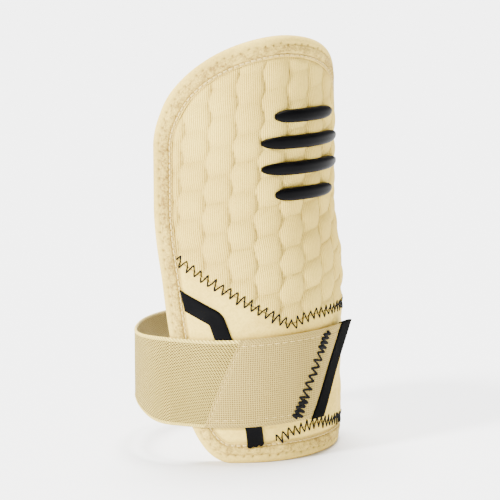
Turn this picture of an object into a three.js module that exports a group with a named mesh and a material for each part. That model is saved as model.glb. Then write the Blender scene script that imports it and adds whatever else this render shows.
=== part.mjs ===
// A baseball elbow guard: a quilted pad and its lower fabric panels, curved round the arm like half a tube,
// with a folded tape bound round the rim and one wide elastic strap that closes the loop behind the arm.
//
// Every piece that lies on the guard is drawn on the flat pattern first, as a cutter would draw it, and then
// rolled up. A place on the pattern is (across, up): millimetres round the guard from its front line, positive to
// the right of someone who looks at the front, and millimetres above the surface it stands on. A third number,
// proud, is how far the place stands out from the guard's outer face. +Z is up and the front faces -Y.
import * as THREE from "three";

// The guard as a whole
const guardHeight = 239;
const frontRadius = 61; // of the outer face, where the guard is fullest
const flankTurn = THREE.MathUtils.degToRad(66); // the face is round this far from the front, and then runs straight
const panelHalfWidth = 79; // half the pattern's width
const topLean = 15; // the upper part of the pattern is set over to the left by this
const leanHeight = 125; // and is fully over at this height
const topRound = 62; // height of the rounded top above the straight sides
const topPower = 1.88; // 2 is an ellipse, less is more pointed
const footReach = { left: 50, right: 57.5 }; // the level bottom edge goes this far each way from the middle
const footRound = { left: 48, right: 28 }; // height of the bottom corners

// The front line, from the foot to the top. Height is a share of guardHeight, and radius of frontRadius.
const profile = [
  { height: 0, radius: 0.967 },
  { height: 0.1, radius: 0.99 },
  { height: 0.2, radius: 0.98 },
  { height: 0.33, radius: 0.995 },
  { height: 0.41, radius: 1 },
  { height: 0.6, radius: 0.92 },
  { height: 0.8, radius: 0.917 },
  { height: 0.87, radius: 0.895 },
  { height: 1, radius: 0.885 },
];

// Fabric and foam
const seat = 0.3; // gap between two pieces that touch
const padCentreThickness = 13;
const padFlankThickness = 5.5;
const panelThickness = 5.1; // of the lower panels
const tuck = 1.5; // the panels end this far inside the rim, in the fold of the tape
const flangeThickness = 3; // of the panels' flat edge inside the fold
const flangeDrop = 1.8; // the flange's outer face lies this far under the guard's
const flangeBlend = 8; // the padding rises from the flange over this width
const innerStart = 7; // on the inner face it starts this far inside the tape

// The tape round the rim
const tapeWidth = 11.5;
const tapeThickness = 1.2;
const foldClear = 0.5; // between the flange and the fold's inside
const rimFlat = 4.4; // width of the tape's flat edge, on which the guard stands
const rimEase = 1.6; // how far in the rim's rounding starts

// The quilting: columns of staggered, puffed cells
const cellWidth = 15.5;
const cellHeight = 15;
const quiltOffset = -3.9; // a groove runs this far from the pattern's middle
const grooveDepth = 1.5;
const crossDepth = 0.9; // of the softer grooves across a column
const cellBelly = 1.1; // a cell is wider by this at each side of its middle
const acrossSteps = 40; // grid lines of every panel, so that neighbours meet line to line

// The seam between the quilted pad and the lower panel: a shallow V with its low point left of the middle
const seamLow = 77;
const seamLowAcross = -0.075; // share of the half width
const seamLeftRise = 44;
const seamRightRise = 8;
const seamRightReach = 0.15; // share of the half width in which the right arm has mostly risen
const seamRightFall = 4.5; // and from there it falls again, by this over the half width
const seamSoftness = 0.04; // share of the half width over which the V's point is rounded
const seamTaper = 12; // the pad thins down to the lower panel over this height

// The seam of the heel panel, at the lower right
const heelStart = -0.47; // shares of the half width
const heelReach = 0.17; // in which it has mostly risen
const heelSeamHigh = 20.5;
const heelFall = 11; // how much lower it is at the right edge

// The strap
const strapWidth = 50;
const strapNeck = 0.78; // share of its width behind the arm, where it is stretched
const neckRise = 3.5; // and its middle line lies this much higher there
const neckReach = 0.26; // share of the free loop over which it narrows at each end
const strapHeight = 46; // of its middle line, at the guard's left edge
const strapRise = 2.4; // how much higher its middle line is at the front
const bandThickness = 1.4;
const tabThickness = 2;
const rootLength = 24; // of the band that is sewn inside the right edge
const bandSeam = { low: -66, high: -46.5 }; // across, at the strap's lower and upper edge
const tabEnd = { low: 6.5, high: 32.5 };
const tabLift = 3.9; // how far the tab's upper corner has sprung off the guard
const tabLiftFrom = 10; // across: from here the stiff tab runs nearly straight

// The free loop behind the arm, from the right edge to the left. Across and back are shares of frontRadius, and
// heading is in degrees, anticlockwise from +X.
const loop = [
  { across: 0.84, back: 0.44, heading: 128 },
  { across: 0, back: 0.885, heading: 180 },
  { across: -0.87, back: 0.48, heading: 226 },
];

// The blank tag folded over the tab's end
const tagWidth = 10.2;
const tagThickness = 0.7;
const strapClear = seat + tagThickness + seat; // between the guard's face and the strap, with the tag in it
const tagOverhang = 0.6;

// The bent stripe bonded to the left flank
const stripeWidth = 9.4;
const stripeThickness = 0.7;
const stripeBend = 11; // length of each bend
const stripeSlant = 0.88; // how far its upper end is cut back for each millimetre across it
const stripePlan = [
  { across: -79.5, up: 92.3 },
  { across: -59.7, up: 83 },
  { across: -40, up: 30 },
  { across: -36.4, up: 10 },
];

// The plain raised bars on the pad's front
const barLengths = [46, 62, 62, 46];
const barHeight = 7.4;
const barPitch = 14.5;
const barThickness = 2;
const barMiddleUp = 173;
const barSteps = 14;

const bandSteps = { root: 5, right: 10, back: 9, left: 10, flank: 6 };

const clamp01 = (x) => Math.min(1, Math.max(0, x));
const smooth = (x) => clamp01(x) ** 2 * (3 - 2 * clamp01(x));
const mix = (from, to, share) => from + (to - from) * share;
const shares = (count) => Array.from({ length: count + 1 }, (_, i) => i / count);

// The pattern

function radiusAt(up) {
  const share = clamp01(up / guardHeight);
  const next = Math.max(1, profile.findIndex((row) => row.height >= share));
  const [below, above] = [profile[next - 1], profile[next]];
  const along = smooth((share - below.height) / (above.height - below.height));
  return frontRadius * mix(below.radius, above.radius, along);
}

const leanAt = (up) => -topLean * smooth(up / leanHeight);

// Rolls a place on the pattern up into space.
function roll(across, up, proud) {
  const radius = radiusAt(up);
  const turn = THREE.MathUtils.clamp(across / radius, -flankTurn, flankTurn);
  const straight = across - turn * radius;
  return new THREE.Vector3(
    (radius + proud) * Math.sin(turn) + straight * Math.cos(turn),
    -(radius + proud) * Math.cos(turn) + straight * Math.sin(turn),
    up,
  );
}

// The height of the pattern's lower and upper edge at a share, -1 to 1, of its half width, drawn in by inset.
function footEdge(share, inset) {
  const half = panelHalfWidth - inset;
  const side = share < 0 ? "left" : "right";
  const round = clamp01((Math.abs(share) * half - footReach[side]) / (half - footReach[side]));
  return footRound[side] - (footRound[side] - inset) * Math.sqrt(1 - round ** 2);
}

function topEdge(share, inset) {
  const drop = (1 - Math.abs(share) ** topPower) ** (1 / topPower);
  return guardHeight - topRound + (topRound - inset) * drop;
}

function seamEdge(share) {
  const from = share - seamLowAcross;
  const soft = (x) => (x + Math.hypot(x, seamSoftness)) / 2;
  const left = (seamLeftRise * soft(-from)) / (1 + seamLowAcross);
  const right = seamRightRise * (1 - Math.exp(-soft(from) / seamRightReach)) - seamRightFall * soft(from);
  return seamLow + left + right;
}

function heelEdge(share) {
  const risen = 1 - Math.exp(-Math.max(0, share - heelStart) / heelReach);
  return heelSeamHigh * risen - heelFall * clamp01(share);
}

// The rim as a closed line on the pattern, evenly spaced and running anticlockwise as seen from outside.
function rimLine(count) {
  const line = [];
  const quarter = shares(24).slice(1);
  const corner = (side, share) => {
    const angle = (share * Math.PI) / 2;
    const reach = mix(footReach[side], panelHalfWidth, Math.sin(angle));
    return [(side === "left" ? -1 : 1) * reach, footRound[side] * (1 - Math.cos(angle))];
  };
  const top = (share) => {
    const angle = share * Math.PI;
    const power = 2 / topPower;
    const across = panelHalfWidth * Math.sign(Math.cos(angle)) * Math.abs(Math.cos(angle)) ** power;
    return [across, guardHeight - topRound + topRound * Math.sin(angle) ** power];
  };
  line.push([-footReach.left, 0], [footReach.right, 0]);
  quarter.forEach((share) => line.push(corner("right", share)));
  shares(64).forEach((share) => line.push(top(share)));
  quarter.reverse().forEach((share) => line.push(corner("left", share)));
  const closed = new THREE.CurvePath();
  const points = line.map(([across, up]) => new THREE.Vector2(across, up));
  points.forEach((point, i) => closed.add(new THREE.LineCurve(point, points[(i + 1) % points.length])));
  return closed.getSpacedPoints(count).slice(0, count);
}

const rimFine = rimLine(360);

// How far a place, given across from the leaning middle line, lies inside the rim.
function insideRim(across, up) {
  let nearest = Infinity;
  rimFine.forEach((from, i) => {
    const to = rimFine[(i + 1) % rimFine.length];
    const [dx, dy] = [to.x - from.x, to.y - from.y];
    const along = clamp01(((across - from.x) * dx + (up - from.y) * dy) / (dx * dx + dy * dy));
    nearest = Math.min(nearest, Math.hypot(across - from.x - along * dx, up - from.y - along * dy));
  });
  return nearest;
}

// Closed bodies from rows of points

function bodyOf(points, triangles) {
  const geometry = new THREE.BufferGeometry();
  geometry.setAttribute("position", new THREE.Float32BufferAttribute(points.flatMap((p) => p.toArray()), 3));
  geometry.setIndex(triangles.flat());
  geometry.computeVertexNormals();
  return geometry;
}

const quad = (a, b, c, d) => [
  [a, b, c],
  [a, c, d],
];

// The rim of a grid of points as indices, in the order that keeps the grid on the left.
function gridRim(columns, rows, index) {
  const rim = [];
  for (let i = 0; i < columns; i++) rim.push(index(i, 0));
  for (let j = 0; j < rows; j++) rim.push(index(columns, j));
  for (let i = columns; i > 0; i--) rim.push(index(i, rows));
  for (let j = rows; j > 0; j--) rim.push(index(0, j));
  return rim;
}

// A slab between an outer and an inner grid. grid[i][j] runs across with i and up with j. The inner grid has the
// same number of cells as the outer one each way, or half as many.
function slab(outer, inner) {
  const points = [...outer.flat(), ...inner.flat()];
  const triangles = [];
  const skins = [outer, inner].map((grid, side) => {
    const [columns, rows] = [grid.length - 1, grid[0].length - 1];
    const first = side * outer.length * outer[0].length;
    const index = (i, j) => first + i * (rows + 1) + j;
    for (let i = 0; i < columns; i++)
      for (let j = 0; j < rows; j++) {
        const corners = [index(i, j), index(i + 1, j), index(i + 1, j + 1), index(i, j + 1)];
        triangles.push(...quad(...(side ? corners.reverse() : corners)));
      }
    return gridRim(columns, rows, index);
  });
  const [outside, inside] = skins;
  const ratio = outside.length / inside.length;
  inside.forEach((here, k) => {
    const next = inside[(k + 1) % inside.length];
    const edge = shares(ratio).map((_, m) => outside[(k * ratio + m) % outside.length]);
    triangles.push([edge[0], here, edge[1]], [here, next, edge[1]]);
    if (ratio === 2) triangles.push([edge[1], next, edge[2]]);
  });
  return bodyOf(points, triangles);
}

// A bar through rings of points, closed into a hoop or capped at both ends.
function loft(rings, hoop) {
  const size = rings[0].length;
  const points = rings.flat();
  const triangles = [];
  const spans = hoop ? rings.length : rings.length - 1;
  for (let i = 0; i < spans; i++)
    for (let j = 0; j < size; j++) {
      const [from, to, next] = [i * size, ((i + 1) % rings.length) * size, (j + 1) % size];
      triangles.push(...quad(from + j, from + next, to + next, to + j));
    }
  if (!hoop) {
    const last = (rings.length - 1) * size;
    for (let j = 0; j < size / 2 - 1; j++) {
      const [a, b, c, d] = [j, j + 1, size - 2 - j, size - 1 - j];
      triangles.push(...quad(a, d, c, b), ...quad(last + a, last + b, last + c, last + d));
    }
  }
  return bodyOf(points, triangles);
}

// The panels

// Where the quilting lies under the puffed cells' tops.
function quiltDepth(across, up) {
  const column = Math.floor((across - quiltOffset) / cellWidth);
  const cell = up / cellHeight + (column % 2 ? 0.5 : 0);
  const belly = cellBelly * Math.cos(2 * Math.PI * (cell - 0.5));
  const left = quiltOffset + column * cellWidth - belly;
  const share = clamp01((across - left) / (cellWidth + 2 * belly));
  const groove = 1 - Math.sin(Math.PI * share) ** 0.6;
  const cross = 1 - Math.abs(Math.sin(Math.PI * cell)) ** 0.6;
  return Math.max(grooveDepth * groove, crossDepth * cross);
}

// How far the padding has risen from the flange, on the outer and the inner face.
function risenAt(across, up) {
  const inside = insideRim(across, up) - tapeWidth;
  return { outside: smooth(inside / flangeBlend), inside: smooth((inside - innerStart) / flangeBlend) };
}

// The padding's outer and inner face, as places proud of the guard's face.
function padFaces(across, up, share) {
  const risen = risenAt(across, up);
  const fromSeam = smooth((up - seamEdge(share)) / seamTaper);
  const centre = mix(padFlankThickness, padCentreThickness, Math.cos((share * Math.PI) / 2) ** 2);
  const thickness = mix(panelThickness, centre, fromSeam);
  return {
    outer: mix(-flangeDrop, -quiltDepth(across, up) * fromSeam, risen.outside),
    inner: mix(-flangeDrop - flangeThickness, -thickness, risen.inside),
  };
}

function panelFaces(across, up) {
  const risen = risenAt(across, up);
  return {
    outer: mix(-flangeDrop, 0, risen.outside),
    inner: mix(-flangeDrop - flangeThickness, -panelThickness, risen.inside),
  };
}

// A panel between two edges of the pattern, each a height for a share across. Its inner face takes every second
// line of the grid.
function panel({ from, to, rows, lower, upper, faces }) {
  const half = panelHalfWidth - tuck;
  const columns = Math.round(((to - from) / 2) * acrossSteps);
  const place = (i, j) => {
    const share = mix(from, to, i / columns);
    const up = mix(lower(share), upper(share), j / rows);
    const { outer, inner } = faces(share * half, up, share);
    const across = leanAt(up) + share * half;
    return { outer: roll(across, up, outer), inner: roll(across, up, inner) };
  };
  const grid = shares(columns).map((_, i) => shares(rows).map((_, j) => place(i, j)));
  const kept = (_, k) => k % 2 === 0;
  return slab(
    grid.map((line) => line.map((p) => p.outer)),
    grid.filter(kept).map((line) => line.filter(kept).map((p) => p.inner)),
  );
}

function quiltedPad() {
  return panel({
    from: -1,
    to: 1,
    rows: 42,
    lower: (share) => seamEdge(share) + seat / 2,
    upper: (share) => topEdge(share, tuck),
    faces: padFaces,
  });
}

const lowerEdge = (share) => Math.max(footEdge(share, tuck), heelEdge(share) + seat / 2);

function lowerPanel() {
  return panel({
    from: -1,
    to: 1,
    rows: 18,
    lower: lowerEdge,
    upper: (share) => seamEdge(share) - seat / 2,
    faces: panelFaces,
  });
}

function heelPanel() {
  const lines = shares(acrossSteps / 2).map((x) => mix(-1, 1, x));
  const deep = lines.filter((share) => heelEdge(share) - footEdge(share, tuck) > tuck);
  return panel({
    from: deep[0],
    to: deep.at(-1),
    rows: 4,
    lower: (share) => footEdge(share, tuck),
    upper: (share) => heelEdge(share) - seat / 2,
    faces: panelFaces,
  });
}

// The tape: a fold that holds the panels' flange, carried round the rim.
function edgeBinding() {
  const slotTop = -flangeDrop + foldClear;
  const slotFloor = -flangeDrop - flangeThickness - foldClear;
  const [top, floor] = [slotTop + tapeThickness, slotFloor - tapeThickness];
  const middle = (top + floor) / 2;
  const slotEnd = tuck - seat;
  const section = [
    [tapeWidth, top],
    [rimEase, top],
    [rimEase * 0.35, mix(middle, top, 0.8)],
    [0, middle + rimFlat / 2],
    [0, middle - rimFlat / 2],
    [rimEase * 0.35, mix(middle, floor, 0.8)],
    [rimEase, floor],
    [tapeWidth, floor],
    [tapeWidth, slotFloor],
    [slotEnd, slotFloor],
    [slotEnd, slotTop],
    [tapeWidth, slotTop],
  ];
  const line = rimLine(112);
  const rings = line.map((here, i) => {
    const [before, after] = [line.at(i - 1), line[(i + 1) % line.length]];
    const along = after.clone().sub(before).normalize();
    return section.map(([inward, proud]) => {
      const up = here.y + along.x * inward;
      return roll(leanAt(up) + here.x - along.y * inward, up, proud);
    });
  });
  return loft(rings, true);
}

// The strap

const bandUnder = strapClear;
const bandOver = strapClear + bandThickness;
const strapMiddle = (across) => strapHeight + strapRise * smooth((across + panelHalfWidth) / panelHalfWidth);
const strapLevels = shares(4).map((share) => share - 0.5);

// A crosswise row of the strap: its points from the lower to the upper edge.
const strapRow = (place) => strapLevels.map((level) => place(level));

const slanted = (line, level) => mix(line.low, line.high, level + 0.5);

// Where the band leaves the guard, on the left, and where it goes in, on the right, as seen from above.
function loopEnds() {
  const [left, right] = [-panelHalfWidth + leanAt(strapHeight) - 3, panelHalfWidth + leanAt(strapHeight)];
  const inside = -flangeDrop - flangeThickness - foldClear - tapeThickness - seat - bandThickness / 2;
  return { left, right, inside };
}

// The free loop as stretches of cubic curve, from the right edge round the back to the left.
function loopCurve() {
  const { left, right, inside } = loopEnds();
  const flat = (p) => new THREE.Vector2(p.x, p.y);
  const heading = (degrees) => {
    const angle = THREE.MathUtils.degToRad(degrees);
    return new THREE.Vector2(Math.cos(angle), Math.sin(angle));
  };
  const flankWay = (side) => new THREE.Vector2(side * Math.cos(flankTurn), Math.sin(flankTurn));
  const knots = [
    { at: flat(roll(right, strapHeight, inside)), way: flankWay(1) },
    ...loop.map((row) => ({
      at: new THREE.Vector2(row.across * frontRadius, row.back * frontRadius),
      way: heading(row.heading),
    })),
    { at: flat(roll(left, strapHeight, bandUnder + bandThickness / 2)), way: flankWay(-1).negate() },
  ];
  return knots.slice(1).map((to, i) => {
    const from = knots[i];
    const reach = from.at.distanceTo(to.at) * 0.36;
    return new THREE.CubicBezierCurve(
      from.at,
      from.at.clone().addScaledVector(from.way, reach),
      to.at.clone().addScaledVector(to.way, -reach),
      to.at,
    );
  });
}

// One row of the band at a place on the free loop. Round is 0 at the right edge and 1 at the left.
function looseRow(curve, share, round, proud) {
  const at = curve.getPoint(share);
  const way = curve.getTangent(share);
  const necked = smooth(Math.min(round, 1 - round) / neckReach);
  const width = strapWidth * mix(1, strapNeck, necked);
  const middle = strapMiddle(-panelHalfWidth) + neckRise * necked;
  return strapRow(
    (level) => new THREE.Vector3(at.x + way.y * proud, at.y - way.x * proud, middle + level * width),
  );
}

function strapBand() {
  const { left, right, inside } = loopEnds();
  const curves = loopCurve();
  const steps = [bandSteps.right, bandSteps.back, bandSteps.back, bandSteps.left];
  const height = (across, level) => strapMiddle(across) + level * strapWidth;
  const face = (side) => {
    const proud = (side * bandThickness) / 2;
    const root = shares(bandSteps.root).slice(0, -1).map((share) => {
      const across = mix(right - rootLength, right, share);
      return strapRow((level) => roll(across, height(-panelHalfWidth, level), inside + proud));
    });
    const free = curves.flatMap((curve, i) =>
      shares(steps[i]).slice(i ? 1 : 0).map((share) =>
        looseRow(curve, share, (i + share) / curves.length, proud)),
    );
    const flank = shares(bandSteps.flank).slice(1).map((share) =>
      strapRow((level) => {
        const across = mix(left, slanted(bandSeam, level) - seat / 2, share);
        return roll(across, height(across, level), bandUnder + bandThickness / 2 + proud);
      }),
    );
    return [...root, ...free, ...flank];
  };
  return slab(face(1), face(-1));
}

// How far the tab's underside stands off the guard's face.
function tabUnder(across) {
  const sprung = Math.max(0, (across - tabLiftFrom) / (tabEnd.high - tabLiftFrom));
  return strapClear + tabLift * sprung ** 2;
}

function tabGrid(from, to, steps, proud) {
  return shares(steps).map((share) =>
    strapRow((level) => {
      const across = mix(slanted(bandSeam, level) + from, slanted(tabEnd, level) + to, share);
      const place = strapMiddle(across) + level * strapWidth;
      return roll(across, place, proud + tabUnder(across));
    }),
  );
}

function strapTab() {
  const end = -tagThickness - seat;
  return slab(
    tabGrid(seat / 2, end, 15, tabThickness),
    tabGrid(seat / 2, end, 15, 0),
  );
}

// The tag: a fold over the tab's slanted end, a little taller than the strap is wide.
function endTag() {
  const [under, over] = [-seat, tabThickness + seat];
  const leaf = (end, proud) => shares(3).map((share) => [mix(-tagWidth, end, share), proud]);
  const section = [
    ...leaf(0, over + tagThickness),
    ...leaf(0, under - tagThickness).reverse(),
    ...leaf(-tagThickness, under),
    ...leaf(-tagThickness, over).reverse(),
  ];
  const tall = 0.5 + tagOverhang / strapWidth;
  const rings = shares(7).map((share) => {
    const level = mix(-tall, tall, share);
    return section.map(([back, proud]) => {
      const across = slanted(tabEnd, level) + back;
      return roll(across, strapMiddle(across) + level * strapWidth, proud + tabUnder(across));
    });
  });
  return loft(rings, false);
}

// The trim

// The stripe's middle line on the pattern: straights with a bend at each inner corner.
function stripePath() {
  const corners = stripePlan.map((row) => new THREE.Vector2(row.across, row.up));
  const path = new THREE.CurvePath();
  let from = corners[0];
  corners.slice(1, -1).forEach((corner, i) => {
    const into = corner.clone().sub(corners[i]).normalize();
    const out = corners[i + 2].clone().sub(corner).normalize();
    const bendFrom = corner.clone().addScaledVector(into, -stripeBend / 2);
    const bendTo = corner.clone().addScaledVector(out, stripeBend / 2);
    path.add(new THREE.LineCurve(from, bendFrom));
    path.add(new THREE.QuadraticBezierCurve(bendFrom, corner, bendTo));
    from = bendTo;
  });
  path.add(new THREE.LineCurve(from, corners.at(-1)));
  return path;
}

function sideStripe() {
  const path = stripePath();
  const steps = 22;
  const face = (proud) =>
    shares(steps).map((share) => {
      const at = path.getPointAt(share);
      const way = path.getTangentAt(share);
      const startSlant = stripeSlant * Math.max(0, 1 - share * steps);
      return shares(2).map((x) => {
        const side = (x - 0.5) * stripeWidth;
        const back = startSlant * -side;
        return roll(at.x - way.y * side + way.x * back, at.y + way.x * side + way.y * back, proud);
      });
    });
  return slab(face(seat + stripeThickness), face(seat));
}

// One bar: a lens-ended strip with a raised, narrower top.
function raisedBar(row) {
  const up = barMiddleUp + (row - (barLengths.length - 1) / 2) * barPitch;
  const half = barLengths[row] / 2;
  const section = [
    [-1, 0],
    [1, 0],
    [0.94, 0.55],
    [0.55, 1],
    [-0.55, 1],
    [-0.94, 0.55],
  ];
  const rings = shares(barSteps).map((share) => {
    const along = 0.985 * Math.sin((share - 0.5) * Math.PI);
    const taper = (1 - Math.abs(along) ** 5) ** 0.5;
    return section.map(([side, rise]) => {
      const proud = seat + barThickness * rise * (0.35 + 0.65 * taper);
      return roll(along * half, up + (side * barHeight * taper) / 2, proud);
    });
  });
  return loft(rings, false);
}

// The scene graph

const cloth = (color, roughness) => new THREE.MeshStandardMaterial({ color, roughness, metalness: 0 });
const materials = {
  knit: cloth(0xe6d8b4, 0.92),
  smooth: cloth(0xe3d5b2, 0.88),
  tape: cloth(0xdccfab, 0.9),
  webbing: cloth(0xd9caa5, 0.85),
  rubber: cloth(0x17171a, 0.35),
  woven: cloth(0x111113, 0.8),
};

function named(name, geometry, material) {
  const mesh = new THREE.Mesh(geometry, material);
  mesh.name = name;
  return mesh;
}

const body = new THREE.Group();
body.add(
  named("quilted_pad", quiltedPad(), materials.knit),
  named("lower_panel", lowerPanel(), materials.smooth),
  named("heel_panel", heelPanel(), materials.smooth),
  named("edge_binding", edgeBinding(), materials.tape),
  named("side_stripe", sideStripe(), materials.rubber),
);
barLengths.forEach((_, row) => body.add(named(`front_bar_${row + 1}`, raisedBar(row), materials.rubber)));

const strap = new THREE.Group();
strap.add(
  named("strap_band", strapBand(), materials.webbing),
  named("strap_tab", strapTab(), materials.webbing),
  named("end_tag", endTag(), materials.woven),
);

// The origin is on the ground under the middle of the guard's box.
const elbowGuard = new THREE.Group();
elbowGuard.add(body, strap);
const box = new THREE.Box3().setFromObject(elbowGuard);
const middle = box.getCenter(new THREE.Vector3());
for (const half of [body, strap]) half.position.set(-middle.x, -middle.y, -box.min.z);

export default elbowGuard;
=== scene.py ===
# %% [markdown]
# # A baseball elbow guard
# The guard is a padded fabric shell, bound with tape and closed behind the arm by a wide elastic strap. The
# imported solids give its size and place. Each step below replaces one of them by a finer surface.

# %% Load the frame
import math

import bpy
import numpy as np
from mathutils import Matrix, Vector


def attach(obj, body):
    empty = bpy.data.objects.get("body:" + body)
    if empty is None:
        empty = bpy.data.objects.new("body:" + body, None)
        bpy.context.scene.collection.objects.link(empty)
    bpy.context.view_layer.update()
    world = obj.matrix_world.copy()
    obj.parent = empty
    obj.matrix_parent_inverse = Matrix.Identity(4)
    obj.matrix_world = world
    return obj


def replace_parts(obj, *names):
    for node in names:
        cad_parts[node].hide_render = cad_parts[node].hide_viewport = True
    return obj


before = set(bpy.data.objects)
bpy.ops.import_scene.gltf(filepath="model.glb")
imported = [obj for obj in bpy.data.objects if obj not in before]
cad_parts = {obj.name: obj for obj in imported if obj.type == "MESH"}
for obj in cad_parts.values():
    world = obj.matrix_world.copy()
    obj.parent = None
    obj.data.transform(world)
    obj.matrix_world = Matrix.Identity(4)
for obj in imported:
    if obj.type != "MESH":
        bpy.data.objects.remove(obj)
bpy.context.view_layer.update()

MM = 0.001
print("nodes:", ", ".join(sorted(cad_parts)))

# %% [markdown]
# ## Camera, light and floor
# The view is from the guard's left front, a little above it, with a long lens, which keeps the rim's far side
# nearly as large as the near one. Three soft suns stand in for a light tent. The key is low on the left, so that
# the quilting's upright grooves get a shaded side, and a pale floor takes the soft contact shadow.

# %% The camera
CAMERA_PLACE, CAMERA_TARGET = (-0.98543, -0.98494, 0.366), (0.00865, -0.00103, 0.1114)  # metres


def show(name, data):
    """A new object in the scene."""
    thing = bpy.data.objects.new(name, data)
    bpy.context.collection.objects.link(thing)
    return thing


def look_at(thing, place, target):
    """Turn a camera or light at a place towards a target, both in metres."""
    thing.location = place
    thing.rotation_euler = (Vector(target) - Vector(place)).to_track_quat("-Z", "Y").to_euler()


optics = bpy.data.cameras.new("camera")
optics.lens, optics.sensor_width, optics.clip_end = 178.0, 36.0, 20.0
camera = show("camera", optics)
look_at(camera, CAMERA_PLACE, CAMERA_TARGET)
bpy.context.scene.camera = camera
print("camera lens", optics.lens, "mm")

# %% The floor and the lights
FLOOR_RADIUS = 8.0  # metres: its edge lies above the picture
LIGHT_TARGET = (0, 0, 0.12)


def make_sun(name, place, angle, power):
    """Parallel light from a place, as soft as a disc of sky that many degrees wide."""
    data = bpy.data.lights.new(name, "SUN")
    data.angle, data.energy = math.radians(angle), power
    look_at(show(name, data), place, LIGHT_TARGET)


make_sun("key_light", (-1.5, 0.25, 0.75), 10, 10.5)
make_sun("front_light", (-0.5, -1.8, 0.9), 50, 0.35)
make_sun("overhead_light", (0.35, 0.35, 3.0), 28, 12.0)

turn = np.linspace(0, 2 * np.pi, 97)[:-1]
rim = FLOOR_RADIUS * np.stack([np.cos(turn), np.sin(turn), 0 * turn], 1)
floor = bpy.data.meshes.new("floor")
floor.from_pydata(rim.tolist(), [], [list(range(len(rim)))])
paint = bpy.data.materials.new("floor_paint")
paint.use_nodes = True
shader = paint.node_tree.nodes["Principled BSDF"].inputs
shader["Base Color"].default_value = (0.93, 0.93, 0.93, 1)
shader["Roughness"].default_value = 0.75
floor.materials.append(paint)
show("floor", floor)

world = bpy.data.worlds.new("studio")
world.use_nodes = True
surround = world.node_tree.nodes["Background"].inputs
surround["Color"].default_value = (1, 1, 1, 1)
surround["Strength"].default_value = 0.8
bpy.context.scene.world = world
print("a round pale floor, three soft lights and a white surround")

# %% [markdown]
# ## The flat pattern
# A guard like this is cut flat and then curved round the arm. So every piece is worked out on the flat pattern
# first: across is the distance round the guard from its front line, and up is the height. One function rolls the
# pattern up. Its third input, proud, is how far a point stands out from the guard's face.

# %% Roll the pattern up
HEIGHT, RADIUS, TURN = 239.0, 61.0, math.radians(66)
AXIS = np.array([4.485, 4.997, 0.0])  # of the guard's round part, in mm
HALF_WIDTH, LEAN, LEAN_HEIGHT = 79.0, 15.0, 125.0
TOP_ROUND, TOP_POWER = 62.0, 1.88
FOOT_REACH, FOOT_ROUND = (50.0, 57.5), (48.0, 28.0)  # of the left and the right foot corner
TUCK, TAPE_WIDTH, STRAP = 1.5, 11.5, 50.0
HALF = HALF_WIDTH - TUCK  # of the panels, under the tape
PROFILE_HEIGHT = np.array([0, 0.1, 0.2, 0.33, 0.41, 0.6, 0.8, 0.87, 1])
PROFILE_RADIUS = np.array([0.967, 0.99, 0.98, 0.995, 1, 0.92, 0.917, 0.895, 0.885])


def smooth(x):
    """The S-shaped step from 0 to 1 as x goes from 0 to 1."""
    x = np.clip(x, 0, 1)
    return x * x * (3 - 2 * x)


def radius_at(up):
    """The face's radius at a height: an S-shaped step between the rows of the profile."""
    share = np.clip(np.asarray(up, float) / HEIGHT, 0, 1)
    row = np.clip(np.searchsorted(PROFILE_HEIGHT, share, side="left"), 1, len(PROFILE_HEIGHT) - 1)
    low, high = PROFILE_HEIGHT[row - 1], PROFILE_HEIGHT[row]
    step = smooth((share - low) / (high - low))
    return RADIUS * (PROFILE_RADIUS[row - 1] * (1 - step) + PROFILE_RADIUS[row] * step)


def lean_at(up):
    return -LEAN * smooth(np.asarray(up, float) / LEAN_HEIGHT)


def dome(x, power, root):
    """A bulge from 0 at -1 over 1 to 0 at 1, as a superellipse."""
    return np.clip(1 - np.abs(x) ** power, 0, 1) ** root


def dent(distance, width):
    """A bell curve: 1 at no distance, and near 0 past twice the width."""
    return np.exp(-((distance / width) ** 2))


def roll(across, up, proud):
    """Round an arc of the face's radius up to TURN each way, and straight on along the tangent after it."""
    across, up, proud = np.broadcast_arrays(*(np.asarray(x, float) for x in (across, up, proud)))
    radius = radius_at(up)
    turn = np.clip(across / radius, -TURN, TURN)
    rest = across - turn * radius
    x = (radius + proud) * np.sin(turn) + rest * np.cos(turn)
    y = -(radius + proud) * np.cos(turn) + rest * np.sin(turn)
    return np.stack([x, y, up], -1) + AXIS


print("the face's radius at the foot, middle and top:", radius_at(np.array([0, 120, 239])).round(1), "mm")

# %% The pattern's edges and seams
SEAM_LOW, SEAM_LOW_ACROSS, SEAM_LEFT, SEAM_SOFT = 77.0, -0.075, 44.0, 0.04
SEAM_RIGHT, SEAM_REACH, SEAM_FALL = 8.0, 0.15, 4.5
HEEL_START, HEEL_REACH, HEEL_SEAM, HEEL_FALL = -0.47, 0.17, 20.5, 11.0
GAP = 0.3


def foot_edge(share, inset):
    """Level, then a quarter of an ellipse at each corner."""
    half = HALF_WIDTH - inset
    reach, high = (np.where(share < 0, *pair) for pair in (FOOT_REACH, FOOT_ROUND))
    bend = np.clip((np.abs(share) * half - reach) / (half - reach), 0, 1)
    return high - (high - inset) * np.sqrt(1 - bend**2)


def top_edge(share, inset):
    """Half of a superellipse."""
    return HEIGHT - TOP_ROUND + (TOP_ROUND - inset) * dome(share, TOP_POWER, 1 / TOP_POWER)


def seam_edge(share):
    """A shallow V: a straight rise to the left, and to the right a quick one that then falls a little."""
    away = share - SEAM_LOW_ACROSS
    soft = lambda x: (x + np.hypot(x, SEAM_SOFT)) / 2
    left = SEAM_LEFT * soft(-away) / (1 + SEAM_LOW_ACROSS)
    right = SEAM_RIGHT * (1 - np.exp(-soft(away) / SEAM_REACH)) - SEAM_FALL * soft(away)
    return SEAM_LOW + left + right


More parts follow.
